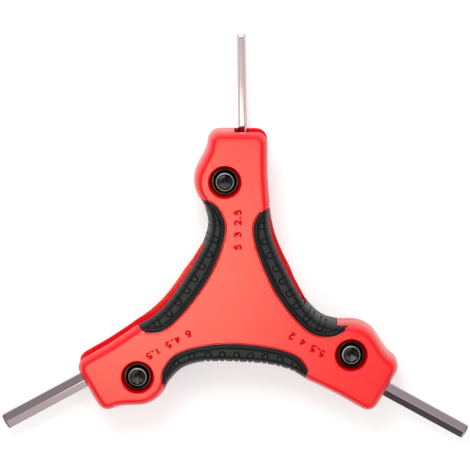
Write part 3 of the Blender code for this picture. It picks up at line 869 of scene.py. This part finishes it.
def line_group():
    """Fine lines along a key, as a height and a mask."""
    group, given, gives = group_of(
        "drawn_lines", [("Across", 6000.0), ("Along", 60.0)],
        [("Height", "Float"), ("Mask", "Float")],
    )
    place = group.nodes.new("ShaderNodeTexCoord")
    mapping = group.nodes.new("ShaderNodeMapping")
    scale = group.nodes.new("ShaderNodeCombineXYZ")
    fine = group.nodes.new("ShaderNodeTexNoise")
    fine.inputs["Scale"].default_value = 1.0
    slow = group.nodes.new("ShaderNodeTexNoise")
    slow.inputs["Scale"].default_value = SLOW_NOISE_SCALE
    wire(
        group, (given.outputs["Across"], scale.inputs["X"]),
        (given.outputs["Along"], scale.inputs["Y"]),
        (place.outputs["UV"], mapping.inputs["Vector"]),
        (scale.outputs["Vector"], mapping.inputs["Scale"]),
        (mapping.outputs["Vector"], fine.inputs["Vector"]),
        (place.outputs["Object"], slow.inputs["Vector"]),
        (fine.outputs["Fac"], gives.inputs["Height"]),
        (slow.outputs["Fac"], gives.inputs["Mask"]),
    )
    return group


def dust_group():
    """A little dust on what faces up."""
    group, given, gives = group_of("dust", [("Scale", 160.0), ("Amount", 0.06)], [("Mask", "Float")])
    shape = group.nodes.new("ShaderNodeNewGeometry")
    split = group.nodes.new("ShaderNodeSeparateXYZ")
    place = group.nodes.new("ShaderNodeTexCoord")
    noise = group.nodes.new("ShaderNodeTexNoise")
    noise.inputs["Detail"].default_value = 6.0
    wire(
        group, (shape.outputs["Normal"], split.inputs["Vector"]),
        (place.outputs["Object"], noise.inputs["Vector"]),
        (given.outputs["Scale"], noise.inputs["Scale"]),
    )
    patches = maths(group, "SUBTRACT", noise.outputs["Fac"], DUST_START)
    up = maths(group, "MAXIMUM", split.outputs["Z"], 0.0)
    mask = maths(group, "MULTIPLY", maths(group, "MULTIPLY", patches, up), given.outputs["Amount"])
    wire(group, (maths(group, "MAXIMUM", mask, 0.0), gives.inputs["Mask"]))
    return group


def painted_shade_group():
    """Painted shade: how far a spot lies down in a recess or crease, from ambient occlusion."""
    group, given, gives = group_of(
        "painted_shade", [("Reach", 0.004), ("Sharpness", 1.5)], [("Mask", "Float")]
    )
    open_share = group.nodes.new("ShaderNodeAmbientOcclusion")
    open_share.samples = 8
    wire(group, (given.outputs["Reach"], open_share.inputs["Distance"]))
    closed = maths(group, "SUBTRACT", 1.0, open_share.outputs["AO"])
    steep = maths(group, "MULTIPLY", closed, given.outputs["Sharpness"])
    wire(group, (maths(group, "MINIMUM", steep, 1.0), gives.inputs["Mask"]))
    return group


GRAIN, WEAR, LINES = grain_group(), wear_group(), line_group()
DUST, PAINTED_SHADE = dust_group(), painted_shade_group()


def use(tree, group, **values):
    """Place a group in a material with its own values."""
    node = tree.nodes.new("ShaderNodeGroup")
    node.node_tree = group
    for label, value in values.items():
        node.inputs[label].default_value = value
    return node.outputs


def blend_colour(tree, mask, first, second):
    """A colour between two, by a mask.

    A mix of colours has the two in its sockets 6 and 7, and its result in its third output."""
    mix = tree.nodes.new("ShaderNodeMix")
    mix.data_type = "RGBA"
    for socket, value in ((mix.inputs[6], first), (mix.inputs[7], second)):
        if isinstance(value, tuple):
            socket.default_value = (*value, 1.0)
        else:
            tree.links.new(value, socket)
    tree.links.new(mask, mix.inputs[0])
    return mix.outputs[2]


def finish_of(name, roughness, metallic=0.0, ior=1.5):
    """A material with its Principled shader's plain values set."""
    made = bpy.data.materials.new(name)
    made.use_nodes = True
    shader = made.node_tree.nodes["Principled BSDF"]
    shader.inputs["Roughness"].default_value = roughness
    shader.inputs["Metallic"].default_value = metallic
    shader.inputs["IOR"].default_value = ior
    return made, made.node_tree, shader


def roughen(tree, shader, height, size, edge=0.0):
    """Bump from a height, over rounded edges if edge is given."""
    bump = tree.nodes.new("ShaderNodeBump")
    bump.inputs["Distance"].default_value, bump.inputs["Strength"].default_value = size
    tree.links.new(height, bump.inputs["Height"])
    if edge:
        rounded = tree.nodes.new("ShaderNodeBevel")
        rounded.samples = 4
        rounded.inputs["Radius"].default_value = edge
        tree.links.new(rounded.outputs["Normal"], bump.inputs["Normal"])
    tree.links.new(bump.outputs["Normal"], shader.inputs["Normal"])


def vary(tree, shader, mask, roughness, variation):
    """Let the roughness vary by a mask."""
    span, below = variation
    rough = maths(tree, "MULTIPLY_ADD", mask, span, roughness - below)
    tree.links.new(rough, shader.inputs["Roughness"])


def plastic_finish(name, colour, dull, roughness, ior, edge=0.0002, painted_shade_amount=0.0, dust=0.0, tint=None):
    """Moulded plastic, with faint mottling, rubbed edges and painted shade that darkens its colour in
    creases and recesses.
    """
    made, tree, shader = finish_of(name, roughness, ior=ior)
    if tint:
        shader.inputs["Specular Tint"].default_value = (*tint, 1.0)
    grain = use(tree, GRAIN, **PLASTIC_GRAIN)
    base = blend_colour(tree, grain["Mask"], colour, dull)
    rubbed = maths(tree, "MULTIPLY", use(tree, WEAR)["Mask"], RUBBED_SHARE)
    lighter = tuple(min(1.0, c * RUBBED_GAIN + RUBBED_LIFT) for c in colour)
    base = blend_colour(tree, rubbed, base, lighter)
    # Painted shade: the colour darkens where ambient occlusion finds a crease or recess.
    if painted_shade_amount:
        painted_shade = maths(tree, "MULTIPLY", use(tree, PAINTED_SHADE, **PLASTIC_PAINTED_SHADE)["Mask"], painted_shade_amount)
        base = blend_colour(tree, painted_shade, base, tuple(c * PAINTED_SHADE_SHARE for c in colour))
    if dust:
        base = blend_colour(tree, use(tree, DUST, Amount=dust)["Mask"], base, DUST_COLOUR)
    tree.links.new(base, shader.inputs["Base Color"])
    vary(tree, shader, grain["Mask"], roughness, PLASTIC_VARIATION)
    roughen(tree, shader, grain["Height"], PLASTIC_BUMP, edge)
    return made


def steel_finish(name, colour, dark, roughness):
    """Bright drawn steel."""
    made, tree, shader = finish_of(name, roughness, 1.0)
    lines = use(tree, LINES)
    base = blend_colour(tree, lines["Mask"], dark, colour)
    worn = use(tree, WEAR, **KEY_WEAR)["Mask"]
    lighter = tuple(min(1.0, c * WORN_GAIN) for c in colour)
    base = blend_colour(tree, worn, base, lighter)
    tree.links.new(base, shader.inputs["Base Color"])
    vary(tree, shader, lines["Height"], roughness, KEY_VARIATION)
    roughen(tree, shader, lines["Height"], KEY_BUMP)
    return made


def black_finish(name, colour, bare, roughness):
    """Blackened steel, bare at its edges."""
    made, tree, shader = finish_of(name, roughness, 1.0)
    grain = use(tree, GRAIN, **BLACK_GRAIN)
    worn = use(tree, WEAR, **BLACK_WEAR)["Mask"]
    tree.links.new(blend_colour(tree, worn, colour, bare), shader.inputs["Base Color"])
    vary(tree, shader, grain["Mask"], roughness, BLACK_VARIATION)
    roughen(tree, shader, grain["Height"], BLACK_BUMP, BLACK_EDGE)
    return made


# The red handle has painted shade in its creases and recesses.
RED_FINISH = plastic_finish(
    "red_nylon", (0.88, 0.001, 0.008), (0.84, 0.001, 0.007), 0.26, 1.4, painted_shade_amount=1.0, dust=0.01
)
# The numbers' red is darker than the handle's: painted shade in their engraved strokes.
SHADED_NUMBER_FINISH = plastic_finish(
    "engraved_number_painted_shade", (0.68, 0.0, 0.01), (0.62, 0.0, 0.009), 0.6, 1.12, edge=0.00003
)
GRIP_FINISH = plastic_finish(
    "soft_black_grip", (0.007, 0.007, 0.0075), (0.004, 0.004, 0.0045), 0.42, 1.31,
    dust=0.01, tint=(0.76, 0.89, 1.0)
)
HEAD_FINISHES = (
    black_finish("black_oxide_steel", (0.0025, 0.0022, 0.0025), (0.012, 0.01, 0.01), 0.45),
    # The boss's rim is bright steel: worn bare, and a painted highlight.
    steel_finish("worn_socket_rim_painted_highlight", (0.3, 0.3, 0.31), (0.16, 0.16, 0.165), 0.36),
    # The socket's steel is far lighter than the head's black: a lit copy of it, painted so that its
    # facets catch highlights.
    black_finish("lightened_socket_steel_painted_highlight", (0.12, 0.12, 0.125), (0.3, 0.3, 0.3), 0.2),
)
# The keys' steel is tinted pink: a painted reflection of the red handle.
PINK_KEY_FINISH = steel_finish("key_steel_painted_pink_reflection", (0.56, 0.46, 0.49), (0.48, 0.39, 0.415), 0.09)
ZINC_FINISH = steel_finish("zinc_plated_steel", (0.46, 0.47, 0.49), (0.36, 0.37, 0.39), 0.42)


# The whole object

def make_handle():
    for front, label in ((True, "front"), (False, "rear")):
        shell = make_half(front, RED_FINISH, SHADED_NUMBER_FINISH)
        mesh = turned_copy(mesh_of(shell), 0.0, not front)
        piece(mesh, label + "_half", "handle", label + "_shell")
        grip = mesh_of(make_grip(front, GRIP_FINISH))
        for place, turn in GRIP_TURNS.items():
            node = "%s_grip_%s" % (label, place)
            mesh = turned_copy(grip, turn, not front)
            piece(mesh, node + "_rubber", "handle", node)


def make_pivots():
    """The screws, and the sleeve nuts, which are turned over."""
    for label, make, over in (("pivot_screw", make_screw, False), ("sleeve_nut", make_nut, True)):
        made = mesh_of(make(HEAD_FINISHES))
        made.transform(Matrix.Translation((*PIVOT, 0.0)))
        for arm, turn in ARM_TURNS.items():
            node = "%s_%s" % (label, arm)
            mesh = turned_copy(made, turn, over)
            piece(mesh, node + "_turned", "handle", node)


def make_keys():
    """The nine keys; the first of each arm is swung out and the others are folded."""
    for arm, widths in KEY_WIDTHS.items():
        centre = turned([PIVOT], ARM_TURNS[arm])[0]
        for place, width in enumerate(widths):
            label = ("%gmm" % (width * 1000)).replace(".", "_")
            low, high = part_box("hex_key_" + label)
            swing = REST_TURNS[arm] if place == 0 else -FOLD_ANGLE
            mesh = mesh_of(make_key(width, place == 0 and arm in CORNER_UP_ARMS, PINK_KEY_FINISH))
            place_at = Matrix.Translation((*centre, (low.z + high.z) / 2))
            mesh.transform(place_at @ Matrix.Rotation(ARM_TURNS[arm] + swing, 4, "Z"))
            piece(mesh, "bright_key_" + label, "key_" + label, "hex_key_" + label)


def finish_nodes():
    """The washers and bushes are shown as they are in the frame."""
    for name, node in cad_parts.items():
        if name.startswith(("washer_", "bush_")):
            node.data.materials.clear()
            node.data.materials.append(ZINC_FINISH)


# The stage

def background_rays(tree):
    """One for the rays that show the background: to the camera, and off or through the object."""
    seen = tree.nodes.new("ShaderNodeLightPath").outputs
    clear = maths(tree, "MAXIMUM", seen["Is Camera Ray"], seen["Is Transmission Ray"])
    return maths(tree, "MAXIMUM", clear, seen["Is Glossy Ray"])


def make_floor():
    """A white floor: it glows for the rays that show the background, and keeps its shadows."""
    corners = [(x * FLOOR_HALF, y * FLOOR_HALF, 0) for x, y in ((-1, -1), (1, -1), (1, 1), (-1, 1))]
    mesh = mesh_from("floor", corners, [(0, 1, 2, 3)])
    made, tree, shader = finish_of("white_floor", 0.9)
    shader.inputs["Base Color"].default_value = (FLOOR_COLOUR, FLOOR_COLOUR, FLOOR_COLOUR, 1.0)
    shader.inputs["Specular IOR Level"].default_value = 0.0
    glow = tree.nodes.new("ShaderNodeEmission")
    glow.inputs["Strength"].default_value = FLOOR_GLOW
    both = tree.nodes.new("ShaderNodeAddShader")
    shade = tree.nodes.new("ShaderNodeMixShader")
    wire(
        tree, (shader.outputs[0], both.inputs[0]), (glow.outputs[0], both.inputs[1]),
        (background_rays(tree), shade.inputs["Fac"]), (shader.outputs[0], shade.inputs[1]),
        (both.outputs[0], shade.inputs[2]),
        (shade.outputs[0], tree.nodes["Material Output"].inputs["Surface"]),
    )
    mesh.materials.append(made)
    floor = thing_of(mesh)
    floor.location.z = -FLOOR_DROP


def make_world():
    """A plain white sky: full for the rays that show the background, and dimmer as a light."""
    world = bpy.data.worlds.new("studio")
    world.use_nodes = True
    tree = world.node_tree
    sky = tree.nodes["Background"].inputs
    level = maths(tree, "MULTIPLY_ADD", background_rays(tree), 1.0 - WORLD_LEVEL, WORLD_LEVEL)
    tree.links.new(level, sky["Strength"])
    sky["Color"].default_value = (1.0, 1.0, 1.0, 1.0)
    bpy.context.scene.world = world


def glow_finish(name, colour=(1.0, 1.0, 1.0)):
    """A material that only glows, with its node tree and the socket of its strength."""
    made = bpy.data.materials.new(name)
    made.use_nodes = True
    tree = made.node_tree
    tree.nodes.remove(tree.nodes["Principled BSDF"])
    glow = tree.nodes.new("ShaderNodeEmission")
    glow.inputs["Color"].default_value = (*colour, 1.0)
    wire(tree, (glow.outputs[0], tree.nodes["Material Output"].inputs["Surface"]))
    return made, tree, glow.inputs["Strength"]


def card_of(mesh, finish):
    """A card of the studio, which shows only in reflections."""
    card = thing_of(mesh, finish)
    for ray in ("camera", "diffuse", "transmission", "shadow", "volume_scatter"):
        setattr(card, "visible_" + ray, False)
    return card


def make_ring():
    """A ring of cards round the object, brightest to the lower right and dark to the lower left."""
    count = ROUND_STEPS
    faces = [(i, (i + 1) % count, count + (i + 1) % count, count + i) for i in range(count)]
    rings = [at_level(CIRCLE * RING_RADIUS, level) for level in (0.0, RING_HEIGHT)]
    mesh = mesh_from("cards", np.vstack(rings), faces)
    at, brightness = np.array(RING_LEVELS, float).T
    levels = np.interp(np.degrees(CIRCLE_ANGLES), at, brightness, period=360)
    mesh.attributes.new("brightness", "FLOAT", "POINT").data.foreach_set("value", np.tile(levels, 2))
    made, tree, strength = glow_finish("studio_cards")
    read = tree.nodes.new("ShaderNodeAttribute")
    read.attribute_name = "brightness"
    wire(tree, (read.outputs["Fac"], strength))
    card_of(mesh, made)


def make_sheen_card():
    """A warm round card over the face, which fades towards its rim."""
    mesh = mesh_from("sheen_card", at_level(CIRCLE * SHEEN_RADIUS, 0.0), [range(ROUND_STEPS)])
    made, tree, strength = glow_finish("warm_card", SHEEN_COLOUR)
    place = tree.nodes.new("ShaderNodeTexCoord")
    away = tree.nodes.new("ShaderNodeVectorMath")
    away.operation = "LENGTH"
    wire(tree, (place.outputs["Object"], away.inputs[0]))
    fade = (-1 / SHEEN_FADE, SHEEN_RADIUS / SHEEN_FADE)
    near = maths(tree, "MULTIPLY_ADD", away.outputs["Value"], *fade)
    near = maths(tree, "MINIMUM", maths(tree, "MAXIMUM", near, 0.0), 1.0)
    wire(tree, (maths(tree, "MULTIPLY", near, SHEEN_LEVEL), strength))
    card = card_of(mesh, made)
    card.location = SHEEN_PLACE
    card.scale = SHEEN_STRETCH
    card.rotation_euler.z = SHEEN_TURN


def make_window():
    """A soft square lamp, high up beyond the top arm."""
    data = bpy.data.lights.new("high_window", "AREA")
    data.shape = "RECTANGLE"
    data.size = data.size_y = WINDOW_SIZE
    data.energy, data.color = WINDOW_WATTS, WINDOW_COLOUR
    lamp = bpy.data.objects.new("high_window", data)
    lamp.location = WINDOW_PLACE
    way = Vector(WINDOW_TARGET) - Vector(WINDOW_PLACE)
    lamp.rotation_euler = way.to_track_quat("-Z", "Y").to_euler()
    lamp.visible_camera = False
    bpy.context.scene.collection.objects.link(lamp)


def make_camera():
    """A long lens over the handle's front."""
    data = bpy.data.cameras.new("camera")
    data.lens = PIXELS_PER_METRE * CAMERA_DISTANCE * data.sensor_width / PHOTO_SIZE
    data.clip_start = CAMERA_DISTANCE / 100
    data.clip_end = CAMERA_DISTANCE * 20
    camera = bpy.data.objects.new("camera", data)
    back = Vector((0.0, math.sin(CAMERA_TILT), math.cos(CAMERA_TILT)))
    camera.location = Vector(CAMERA_TARGET) + back * CAMERA_DISTANCE
    camera.rotation_euler = (-CAMERA_TILT, 0.0, 0.0)
    bpy.context.scene.collection.objects.link(camera)
    bpy.context.scene.camera = camera


make_handle()
make_pivots()
make_keys()
finish_nodes()
make_floor()
make_world()
make_ring()
make_sheen_card()
make_window()
make_camera()
bpy.context.scene.view_settings.view_transform = "Standard"
